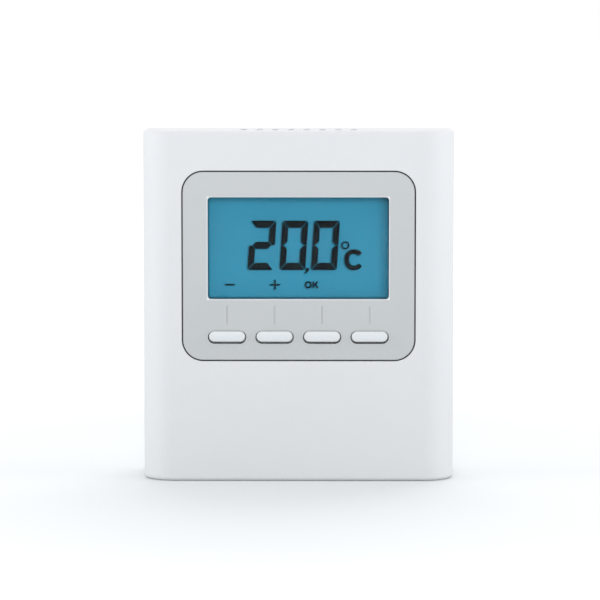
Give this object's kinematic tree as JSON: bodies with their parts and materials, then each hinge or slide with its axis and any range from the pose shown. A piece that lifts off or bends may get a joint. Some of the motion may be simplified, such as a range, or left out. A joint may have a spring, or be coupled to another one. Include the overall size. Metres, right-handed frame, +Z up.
{
  "type": "wall thermostat",
  "caption": "Battery-powered room thermostat: rounded white case with a backlit display over a row of pill-shaped buttons, hooked on a slotted wall plate that swings off the back.",
  "frame": {"origin": "under the middle of the unit, on the surface it stands on", "axes": "+X to the right of someone reading the display, +Y into the wall, so the display faces -Y, +Z up"},
  "size_m": [0.08, 0.025, 0.09],
  "materials": {
    "cover_plastic": "fine spark-eroded satin, white",
    "moulding_plastic": "plain moulded, off-white",
    "bezel_plastic": "silver-grey satin paint",
    "button_plastic": "polished moulded, white",
    "clear_plastic": "clear polished window",
    "display_glass": "polished display glass",
    "polariser_film": "clear grey film",
    "light_guide": "blue diffusing light guide",
    "reflector_film": "white film",
    "black_foam": "black foam tape and rubber",
    "circuit_board": "green solder mask",
    "radio_circuit_board": "blue solder mask",
    "chip_plastic": "black moulded epoxy",
    "lamp_plastic": "white light source",
    "steel": "bright zinc and nickel plate",
    "antenna_wire": "drawn wire",
    "battery_cell": "printed metal jacket, plain",
    "label_film": "blank matt label"
  },
  "bodies": {
    "unit": {"front_cover": "cover_plastic", "rear_cover": "moulding_plastic", "rating_label": "label_film", "front_bezel": "bezel_plastic", "window_lens": "clear_plastic", "bezel_adhesive": "black_foam", "display_front_polariser": "polariser_film", "display_front_glass": "display_glass", "display_rear_glass": "display_glass", "display_rear_polariser": "polariser_film", "display_light_guide": "light_guide", "display_reflector": "reflector_film", "display_contact_strip": "black_foam", "display_holder": "moulding_plastic", "backlight_led_left": "lamp_plastic", "backlight_led_right": "lamp_plastic", "main_board": "circuit_board", "microcontroller": "chip_plastic", "memory_chip": "chip_plastic", "radio_board": "radio_circuit_board", "radio_shield": "steel", "antenna_coil": "antenna_wire", "clock_crystal": "steel", "storage_capacitor": "chip_plastic", "temperature_sensor": "chip_plastic", "battery_upper": "battery_cell", "battery_lower": "battery_cell", "negative_contact": "steel", "positive_contact": "steel", "bridge_contact": "steel", "negative_spring": "steel", "bridge_spring": "steel", "case_screw_left_bottom": "steel", "board_screw_left_bottom": "steel", "case_screw_left_top": "steel", "board_screw_left_top": "steel", "case_screw_right_bottom": "steel", "board_screw_right_bottom": "steel", "case_screw_right_top": "steel", "board_screw_right_top": "steel", "minus_switch": "steel", "plus_switch": "steel", "ok_switch": "steel", "menu_switch": "steel"},
    "minus_key": {"minus_button": "button_plastic", "minus_switch_plunger": "chip_plastic"},
    "plus_key": {"plus_button": "button_plastic", "plus_switch_plunger": "chip_plastic"},
    "ok_key": {"ok_button": "button_plastic", "ok_switch_plunger": "chip_plastic"},
    "menu_key": {"menu_button": "button_plastic", "menu_switch_plunger": "chip_plastic"},
    "wall_plate": {"wall_plate": "moulding_plastic"}
  },
  "joints": [
    {"name": "minus_press", "type": "slide", "parent": "unit", "child": "minus_key", "axis": [0, 1, 0], "range_m": [0, 0.0005], "stiffness_N_per_m": 2000},
    {"name": "plus_press", "type": "slide", "parent": "unit", "child": "plus_key", "axis": [0, 1, 0], "range_m": [0, 0.0005], "stiffness_N_per_m": 2000},
    {"name": "ok_press", "type": "slide", "parent": "unit", "child": "ok_key", "axis": [0, 1, 0], "range_m": [0, 0.0005], "stiffness_N_per_m": 2000},
    {"name": "menu_press", "type": "slide", "parent": "unit", "child": "menu_key", "axis": [0, 1, 0], "range_m": [0, 0.0005], "stiffness_N_per_m": 2000},
    {"name": "plate_swing", "type": "hinge", "parent": "unit", "child": "wall_plate", "pos_m": [0, 0.0089, 0.09], "axis": [1, 0, 0], "range_deg": [0, 45]}
  ]
}
